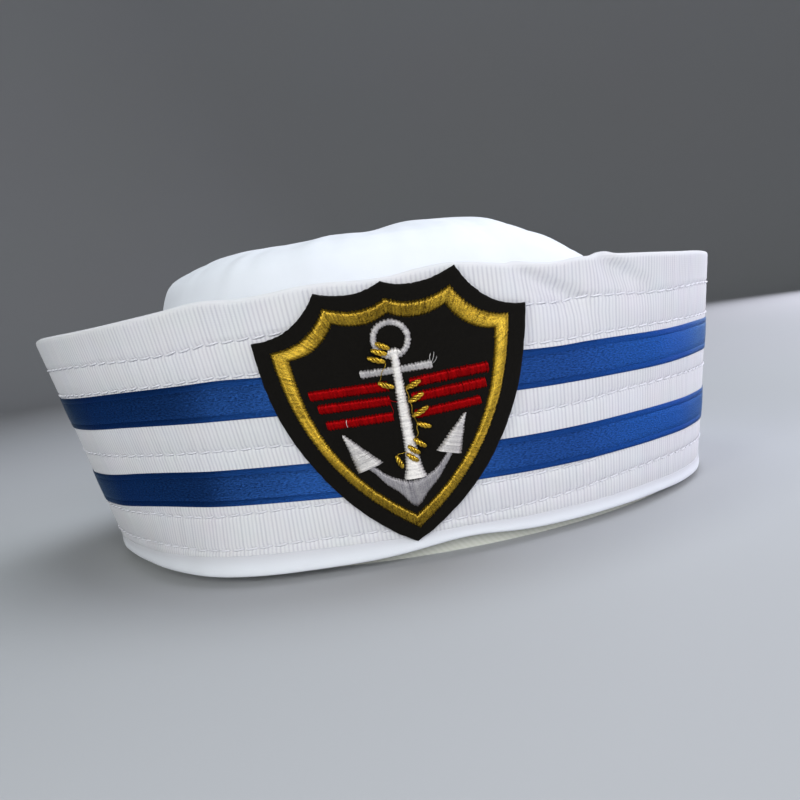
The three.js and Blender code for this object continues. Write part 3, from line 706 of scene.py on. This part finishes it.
def makeCrown():
    form = crownForm
    seam, last = form["seamStation"], len(form["stations"]["rise"]) - 1

    def placeSide(along, across):
        points = crownPoints((along * 2 - 1) * 180, across * seam)[0]
        return points, along * 2 * math.pi * form["girthRadius"], points[:, 2]

    def placeTop(along, across):
        angle = (along * 2 - 1) * 180
        points, radius = crownPoints(angle, seam + across * (last - seam))
        return points, radius * np.sin(np.radians(angle)), radius * np.cos(np.radians(angle))

    side = bendGrid("crownSideCloth", form["columns"], form["sideRows"], placeSide)
    thicken(side, form["cloth"])
    finishPiece(side, plainCloth, "white_cloth", "crown_side")
    top = bendGrid("crownTopCloth", form["columns"], form["topRows"], placeTop)
    thicken(top, form["cloth"])
    finishPiece(top, plainCloth, "white_cloth", "crown_top")


makeCrown()


# Sweatband: its level lower edge stands on the floor
sweatband = {"height": 25, "thickness": 1.2, "fromWall": 1.9, "girthRadius": 91, "columns": 360, "rows": 8}


def makeSweatband():
    band, crown = sweatband, crownForm["stations"]

    def place(along, across):
        angle = (along * 2 - 1) * 180
        tilt = math.radians(hatPose["tilt"])

        def wall(rise):
            at = np.maximum(rise, crown["rise"][0])
            radius = np.interp(at, crown["rise"], crown["radius"]) - band["fromWall"]
            lean = crownForm["leanX"] * np.clip(rise, 0, None) / crown["rise"][-1]
            return around(angle, radius * plan(angle, crown["ovality"][0]), rise, lean)

        low = wall(np.zeros_like(angle))
        low[:, 2] = low[:, 0] * math.tan(tilt) - hatPose["hemAboveFloor"] / math.cos(tilt)
        high = wall(np.full_like(angle, band["height"]))
        points = low * (1 - across)[:, None] + high * across[:, None]
        girth = 2 * math.pi * band["girthRadius"]
        return points, along * girth, across * (band["height"] + hatPose["hemAboveFloor"])

    piece = bendGrid("sweatbandCloth", band["columns"], band["rows"], place)
    thicken(piece, band["thickness"])
    finishPiece(piece, lining, "lining_cloth", "sweatband")


makeSweatband()


# Ribbons round the cuff, with a raised selvedge along each edge
def makeRibbon(word):
    half = np.array(ribbonForm["halfProfile"])
    offsets, lifts = np.concatenate([half[:0:-1] * (-1, 1), half]).T
    rows = len(offsets) - 1
    selvedge = []

    def place(along, across):
        row = gridIndex(across, rows)
        x = (along * 2 - 1) * halfGirth
        turn = x / cuffForm["clothRadius"]
        wander = sum(size * np.sin(count * turn + start) for count, size, start in ribbonForm["wanders"])
        count, size, bends, bend = ribbonForm["ripples"]
        arch = 1 - (offsets[row] / ribbonForm["halfWidth"]) ** 2
        ripple = size * np.sin(count * turn + bend * np.sin(bends * turn)) * arch
        start, share = ribbonForm["selvedge"]
        selvedge.extend((np.abs(offsets[row]) > start) * share)
        return onCuff(x, ribbonMiddle(word, x) + wander + offsets[row], lifts[row] + ripple), x, offsets[row]

    piece = bendGrid("ribbon" + word, ribbonForm["columns"], rows, place)
    addPointValues(piece, "selvedge", selvedge)
    thicken(piece, ribbonForm["cloth"])
    finishPiece(piece, satin, "blue_satin", "ribbon_" + word.lower())


for word in ribbonForm["middles"]:
    makeRibbon(word)


# Shield of felt, and the edges of its gold border: x, v, and how far the edge to the next corner bows out
shieldForm = {
    "felt": [(-2, 69.5, -2.1), (15.2, 69.5, -2.9), (31.5, 60.7, 9), (-5, 2.8, 9), (-34.6, 59.4, -2.7),
             (-17.6, 68.1, -1.7)],
    "borderOuter": [(-1.6, 65.8, -2), (13.4, 65.6, -2.3), (26.9, 58.6, 6.6), (-3.6, 7, 7.3),
                    (-30.5, 56.8, -2.3), (-16, 64.8, -1.7)],
    "borderInner": [(-1.6, 62.2, -1.8), (11.5, 61.6, -1.9), (22.7, 55.2, 5.9), (-3.7, 11, 6.5),
                    (-26.3, 54.2, -1.9), (-14.6, 61, -1.5)],
    "middle": (-2.5, 42),
    "steps": 40,
    # share of the outline, height over the cuff
    "rows": [(0, 2), (0.15, 2), (0.3, 2), (0.45, 2), (0.6, 2), (0.74, 2), (0.86, 2), (0.94, 2), (0.976, 1.98),
             (0.99, 1.9), (0.998, 1.7), (1, 1.45), (1, 0.8), (0.997, 0.5), (0.985, 0.38), (0.9, 0.36),
             (0.5, 0.36), (0, 0.36)],
    "rough": 0.02,
    "ragged": (0.97, 0.0015),  # share of the outline where it starts, size
}


def outline(corners, steps):
    points = []
    share = np.arange(steps) / steps
    for i, (x, v, sag) in enumerate(corners):
        nextX, nextV = corners[(i + 1) % len(corners)][:2]
        chord = np.array([nextX - x, nextV - v])
        outward = np.array([-chord[1], chord[0]]) / np.linalg.norm(chord)
        bow = 4 * sag * share * (1 - share)
        points.append(np.array([x, v]) + share[:, None] * chord + bow[:, None] * outward)
    return np.concatenate(points)


def makeShield():
    edge = outline(shieldForm["felt"], shieldForm["steps"])
    shares, heights = np.array(shieldForm["rows"]).T
    columns, last = len(edge), len(shares) - 1
    random = np.random.default_rng(11)
    rough = random.normal(0, shieldForm["rough"], (len(shares), columns))
    raggedFrom, size = shieldForm["ragged"]
    ragged = 1 + random.normal(0, size, columns)
    middleX, middleV = shieldForm["middle"]

    def place(along, across):
        row = gridIndex(across, last)
        column = gridIndex(along, columns) % columns
        share = shares[row] * np.where(shares[row] > raggedFrom, ragged[column], 1)
        x = middleX + (edge[column, 0] - middleX) * share
        v = middleV + (edge[column, 1] - middleV) * share
        out = heights[row] + np.where(share > 0, rough[row, column], 0)
        return onCuff(x, v, out), x, v

    piece = bendGrid("shieldFelt", columns, last, place)
    sewEdges()
    finishPiece(piece, felt, "black_felt", "patch_felt")


makeShield()


# Embroidery on the shield: satin stitch of threads that pull together in bunches
embroidery = {
    "base": 1.98, "pitch": 0.2, "thread": 0.13, "endSize": 0.95, "endDrop": 0.15, "bunch": 2,
    "wander": 0.045, "ragged": 0.09, "uneven": 0.014,
    "fullness": 3.6,  # power of the rounded profile
}


def satinStitch(first, second, crest, seed, lift=0, steps=7):
    # threads laid side by side between two edges, given as lists of (x, v)
    # they reach by turns a little further and less far, so that the edges are finely serrated
    form, pitch = embroidery, embroidery["pitch"]
    random = np.random.default_rng(seed)
    first, second = np.asarray(first, float), np.asarray(second, float)
    middle = (first + second) / 2
    length = np.concatenate([[0], np.cumsum(np.linalg.norm(np.diff(middle, axis=0), axis=1))])
    count = max(3, round(length[-1] / pitch))
    at = (np.arange(count) + 0.5) / count * length[-1]
    starts, ends = (np.stack([np.interp(at + lean * pitch, length, edge[:, k]) for k in (0, 1)], -1)
                    for edge, lean in ((first, -0.5), (second, 0.5)))
    bunch = np.arange(count) // form["bunch"]
    loose = random.normal(0, 1, (count // form["bunch"] + 1, 5))[bunch]
    across = (ends - starts) / np.linalg.norm(ends - starts, axis=1, keepdims=True)
    reach = across * np.where(bunch % 2, form["ragged"], -form["ragged"])[:, None]
    starts = starts - reach + form["wander"] * loose[:, 0:2]
    ends = ends + reach + form["wander"] * loose[:, 2:4]
    s = np.linspace(0, 1, steps)
    flat = starts[:, None] * (1 - s)[:, None] + ends[:, None] * s[:, None]
    arch = np.sqrt(1 - np.abs(2 * s - 1) ** form["fullness"])
    height = form["base"] + lift + crest * arch + form["uneven"] * loose[:, 4:]
    height[:, [0, -1]] -= form["endDrop"]
    return onCuff(flat[..., 0], flat[..., 1], height)


def embroider(name, paths, seed, shades, material, slot, node):
    form = embroidery
    piece = layThreads(name, paths, form["thread"], seed=seed, shades=shades, bunch=form["bunch"],
                       endSize=form["endSize"])
    finishPiece(piece, material, slot, node)


borderForm = {
    "crest": 0.52,
    # painted reflection: shade ranges that depend on how level a thread lies
    "shades": [(0.22, 0.24), (0.42, 0.36)],  # darkest and lightest upright thread, and what level ones add
}


def makeBorder():
    outer, inner = (outline(shieldForm[name], shieldForm["steps"]) for name in ("borderOuter", "borderInner"))
    outer, inner = (np.concatenate([edge, edge[:1]]) for edge in (outer, inner))
    paths = satinStitch(outer, inner, borderForm["crest"], 21)
    # painted reflection: level metal threads are drawn lighter, as if mirroring the lights, upright ones
    # darker, as if mirroring the floor
    chord = paths[:, -1] - paths[:, 0]
    level = np.hypot(chord[:, 0], chord[:, 1]) / np.linalg.norm(chord, axis=1)
    shades = np.stack([upright + more * level for upright, more in borderForm["shades"]], -1)
    embroider("borderGold", paths, 22, shades, goldThread, "gold_thread", "patch_border")


anchorForm = {
    "ring": (-2, 56.2, 4.7, 3.3),  # x, v, outer and inner radius
    # x, top, bottom
    "stock": [(-10.6, 49.7, 47.9), (-4, 49.75, 48.05), (2, 49.85, 48.15), (6.5, 49.9, 47.9)],
    "arms": [(-13.8, 27, 25), (-12, 25.2, 23), (-10, 23.2, 20.2), (-7, 21.4, 17.2), (-3.3, 20.4, 13),
             (0.5, 21.2, 16.8), (3.6, 23, 19.9), (6.6, 26.4, 24), (8, 28.4, 26)],
    "knob": [(-3.4, 53.3, 52.9), (-2.9, 53.8, 52.4), (-1.8, 54.1, 52.1), (-0.7, 53.8, 52.4),
             (-0.2, 53.3, 52.9)],
    "shank": [(20.9, -2.2, 2.9), (24.5, -2.1, 2), (29, -2, 1.5), (36, -2, 1.35), (45, -1.9, 1.1),
              (53.4, -1.8, 0.9)],  # v, x, half width
    # tip, inner and outer barb
    "flukes": [((-18.2, 35), (-9.6, 26), (-16.3, 24)), ((12.8, 36.6), (4.2, 27.3), (10.2, 25.8))],
    "flukeTip": 0.03,  # share of a fluke left off its tip
    "steps": 60,
    "flukeSteps": 20,
    # crest, lift, darkest and lightest shade; the shades are painted light and shade on one thread, the shank
    # and knob lightest, the arms darkest
    "finish": {
        "ring": (0.5, 0, (0.35, 0.6)),
        "stock": (0.4, 0, (0.3, 0.55)),
        "arms": (0.4, 0, (0.12, 0.3)),
        "knob": (0.5, 0.3, (0.7, 1)),
        "shank": (0.55, 0.25, (0.75, 1)),
        "flukes": (0.45, 0.15, (0.45, 0.8)),
    },
}


def makeAnchor():
    form = anchorForm
    paths = []
    shades = []

    def sew(part, first, second, seed):
        # each part's shade range is painted light and shade
        crest, lift, shade = form["finish"][part]
        paths.append(satinStitch(first, second, crest, seed, lift))
        shades.append(shade)

    def curves(part):
        along, *rows = zip(*form[part])
        at = np.linspace(along[0], along[-1], form["steps"])
        return at, *(curveThrough(along, row, at) for row in rows)

    x, v, outerRadius, innerRadius = form["ring"]
    turn = np.linspace(0, 2 * math.pi, form["steps"])
    circle = np.stack([np.cos(turn), np.sin(turn)], -1)
    sew("ring", circle * outerRadius + (x, v), circle * innerRadius + (x, v), 31)
    for part in ("stock", "arms", "knob"):
        at, *edges = curves(part)
        sew(part, *(np.stack([at, edge], -1) for edge in edges), 32)
    at, centre, half = curves("shank")
    sew("shank", np.stack([centre - half, at], -1), np.stack([centre + half, at], -1), 33)
    share = np.linspace(form["flukeTip"], 1, form["flukeSteps"])[:, None]
    for tip, *barbs in form["flukes"]:
        inner, outer = (np.array(tip) * (1 - share) + np.array(barb) * share for barb in barbs)
        sew("flukes", inner, outer, 34)
    shades = np.repeat(shades, [len(part) for part in paths], axis=0)
    embroider("anchorThread", np.concatenate(paths), 35, shades, silverThread, "silver_thread", "anchor")


barForm = {
    "height": 2.45, "crest": 0.4, "steps": 6, "shades": (0.3, 0.75),
    # middle of the left and right end: x, v
    "bars": [("bar_left_1", -23.8, 45.2, -4.6, 45.4), ("bar_left_2", -22.4, 41.8, -4.8, 41.9),
             ("bar_left_3", -21.3, 37.4, -4.8, 37.8), ("bar_right_1", 0.6, 45.4, 20, 46.5),
             ("bar_right_2", 0.6, 41.9, 18.8, 43), ("bar_right_3", 0.7, 37.6, 17, 38.9)],
}


def makeBars():
    half = barForm["height"] / 2
    for number, (node, x1, v1, x2, v2) in enumerate(barForm["bars"]):
        top = [(x1, v1 + half), (x2, v2 + half)]
        bottom = [(x1, v1 - half), (x2, v2 - half)]
        paths = satinStitch(top, bottom, barForm["crest"], 41 + number, steps=barForm["steps"])
        embroider(node + "_thread", paths, 51 + number, barForm["shades"], redThread, "red_thread", node)


ropeForm = {
    "width": 1.7, "strand": 0.31, "strands": 3, "twists": 1.3,
    "spread": 0.55,  # of the strands, in half widths
    "flatness": 0.8, "sunk": 0.1, "overThread": 0.7,
    "ends": (0.03, 0.7),  # share of the length that stays thin, power of the taper
    "steps": 20, "shades": (0.5, 1),
    # x, v of both ends, and whether it lies over other thread
    "turns": [(-5.6, 56, -2.6, 54.3, 1), (-6.9, 54.5, -3.4, 53.1, 1), (-8.1, 52.7, -4.1, 51.2, 0),
              (-6.8, 46.7, -3.2, 45.2, 1), (-0.4, 44.6, 3.2, 46, 1), (-0.4, 41.3, 3.4, 43, 1),
              (-0.2, 37.4, 4, 39.6, 1), (0.6, 35.4, 4, 34, 0), (-0.8, 31.6, 1.9, 29.2, 1),
              (-2.6, 30, 0.1, 27.6, 1), (-3.3, 28, -0.6, 25.6, 1), (-6, 27.6, -4.9, 24, 0)],
}


def makeRopes():
    # a turn of rope is strands twisted together, thin at its ends
    form = ropeForm
    s = np.linspace(0, 1, form["steps"])
    tip, taper = form["ends"]
    width = form["width"] / 2 * np.sin(math.pi * np.clip(s, tip, 1 - tip)) ** taper
    for number, (x1, v1, x2, v2, over) in enumerate(form["turns"], 1):
        chord = np.array([x2 - x1, v2 - v1])
        aside = np.array([-chord[1], chord[0]]) / np.linalg.norm(chord)
        paths = []
        for strand in range(form["strands"]):
            turn = 2 * math.pi * (form["twists"] * s + strand / form["strands"])
            swing = form["spread"] * width * np.cos(turn)
            height = width * (1 + form["spread"] * np.sin(turn)) * form["flatness"]
            height = form["strand"] + height - form["sunk"]
            x = x1 + chord[0] * s + aside[0] * swing
            v = v1 + chord[1] * s + aside[1] * swing
            paths.append(onCuff(x, v, embroidery["base"] + over * form["overThread"] + height))
        piece = layThreads(f"rope_{number}_thread", paths, form["strand"], seed=60 + number,
                           shades=form["shades"])
        finishPiece(piece, goldThread, "gold_thread", f"rope_{number}")


# Fine ends and floats of thread: material, slot, radius, then corners (x, v) and height over the felt
looseThreads = {
    "ropeLinks": (goldThread, "gold_thread", 0.09, [
        ([(-4.1, 51.2), (-4.4, 50.2), (-5.4, 49), (-6, 47.4), (-6.6, 46.6)], 0.75),
        ([(-0.3, 45.2), (-0.5, 44), (-0.1, 42.6), (-0.3, 41.4), (0.2, 40), (-0.1, 38.4), (0, 37.4)], 0.5),
        ([(0, 37.4), (0.5, 36.2), (0.7, 35.3)], 0.5),
        ([(0.7, 35.3), (0.4, 34), (0.5, 32.6), (-0.4, 31.4)], 0.4),
        ([(-2.4, 28.6), (-3.8, 28.2), (-5.2, 28), (-5.9, 27.5)], 0.8),
    ]),
    "redFloat": (redThread, "red_thread", 0.08, [
        ([(-5, 42.4), (-4, 41.8), (-2.4, 41.4)], 0.7),
        ([(-4.9, 41.2), (-4.5, 39.4), (-4.8, 38)], 0.2),
    ]),
    "paleFibres": (silverThread, "silver_thread", 0.07, [
        ([(6.3, 49.2), (7, 50.4), (7.4, 51.6)], 0.6),
        ([(6.2, 49.6), (6.2, 50.6), (6.6, 51.4)], 0.5),
        ([(6.5, 49), (7.4, 49.7), (7.9, 50.6)], 0.5),
        ([(-16.1, 38.6), (-16.3, 37.6), (-16.2, 36.4)], 0.65),
    ]),
}


def makeLooseThreads():
    steps, fullness = 12, 0.3  # points on a thread, power of its arch
    s = np.linspace(0, 1, steps)
    for name, (material, slot, radius, threads) in looseThreads.items():
        paths = []
        for corners, height in threads:
            at = np.linspace(0, 1, len(corners))
            x, v = (curveThrough(at, row, s) for row in zip(*corners))
            paths.append(onCuff(x, v, embroidery["base"] + height * np.sin(math.pi * s) ** fullness))
        piece = layThreads(name, paths, radius, sides=5)
        finishPiece(piece, material, slot)


makeBorder()
makeAnchor()
makeBars()
makeRopes()
makeLooseThreads()


# Camera, at the photograph's angle to the hat
cameraView = {
    "azimuth": -2.98, "elevation": 4.21, "distance": 347.5, "aimHeight": 35, "roll": 7.725, "lens": 44.28,
    "shift": (0.0031, -0.0101), "clipStart": 0.01,
}


def makeCamera():
    azimuth = math.radians(cameraView["azimuth"])
    elevation = math.radians(cameraView["elevation"])
    level = Matrix.Rotation(azimuth, 4, "Z") @ Matrix.Rotation(math.pi / 2 - elevation, 4, "X")
    aim = Matrix.Translation((0, 0, cameraView["aimHeight"]))
    back = Matrix.Translation((0, 0, cameraView["distance"]))
    roll = Matrix.Rotation(math.radians(-cameraView["roll"]), 4, "Z")
    view = hatMatrix @ aim @ level @ back @ roll
    bpy.ops.object.camera_add()
    camera = bpy.context.object
    camera.matrix_world = Matrix.Translation(view.translation * mm) @ view.to_3x3().to_4x4()
    camera.data.lens = cameraView["lens"]
    camera.data.shift_x, camera.data.shift_y = cameraView["shift"]
    camera.data.clip_start = cameraView["clipStart"]
    bpy.context.scene.camera = camera


makeCamera()


# Studio: a pale floor that sweeps up all round, and soft light
studio = {
    "floor": "#bcbec0",
    "flatRadius": 1.7, "bendRadius": 1.0, "wall": 0.8, "grid": (96, 60),
    "world": {"Color": "#e6e8e6", "Strength": 0.09},
    # place, aim, width and height in metres, watts, colour
    "lights": {
        "leftSoftbox": ((-0.67, -0.93, 0.34), (0, 0, 0.04), (0.27, 0.5), 3.5, "#f8faf6"),
        "frontSoftbox": ((0.06, -1.2, 0.42), (0, 0, 0.04), (0.6, 0.5), 8.1, "#f6f8f8"),
        "rightSoftbox": ((1.17, -0.55, 0.4), (0, 0, 0.04), (1.3, 0.7), 6.1, "#f3f0ff"),
        "sideSoftbox": ((1.12, 0.72, 0.45), (0, 0, 0.05), (1.3, 0.7), 13, "#f3f2ff"),
        "topSoftbox": ((0.2, 0.1, 1.0), (0, 0, 0.07), (0.7, 0.7), 5.5, "#eef7ff"),
    },
}


def makeStudio():
    floor, along, across = flatGrid("floor", *studio["grid"])
    flat, bend = studio["flatRadius"], studio["bendRadius"]
    length = across * (flat + bend * math.pi / 2 + studio["wall"])
    turn = np.clip((length - flat) / bend, 0, math.pi / 2)
    radius = np.minimum(length, flat) + bend * np.sin(turn)
    rise = bend * (1 - np.cos(turn)) + np.clip(length - flat - bend * math.pi / 2, 0, None)
    angle = along * 2 * math.pi
    points = np.stack([radius * np.cos(angle), radius * np.sin(angle), rise], -1)
    floor.data.vertices.foreach_set("co", points.ravel())
    sewEdges(closed=False)
    # painted board: pale and matt, with hardly any grain
    add, finish = newMaterial("paintedBoard")
    place = add("TexCoord", "Object")
    grain = add("TexNoise", "Color", {"Vector": place, "Scale": perMetre(400), "Detail": 2})
    tone = add("Mix", 2, {0: 0.03, 6: studio["floor"], 7: grain}, data_type="RGBA", blend_type="SOFT_LIGHT")
    floor.data.materials.append(finish({"Base Color": tone, "Roughness": 0.8, "Specular IOR Level": 0.2}))
    world = bpy.data.worlds.new("studio")
    world.use_nodes = True
    tree = world.node_tree
    setInputs(tree, tree.nodes["Background"], studio["world"])
    bpy.context.scene.world = world
    for name, (place, aim, size, watts, colour) in studio["lights"].items():
        bpy.ops.object.light_add(type="AREA", location=place)
        light = bpy.context.object
        light.name = name
        light.rotation_euler = (Vector(aim) - Vector(place)).to_track_quat("-Z", "Y").to_euler()
        light.data.shape = "RECTANGLE"
        light.data.size, light.data.size_y = size
        light.data.energy = watts
        light.data.color = linear(colour)[:3]
        light.visible_camera = False
    bpy.context.scene.view_settings.view_transform = "Standard"
    print("studio set")


makeStudio()
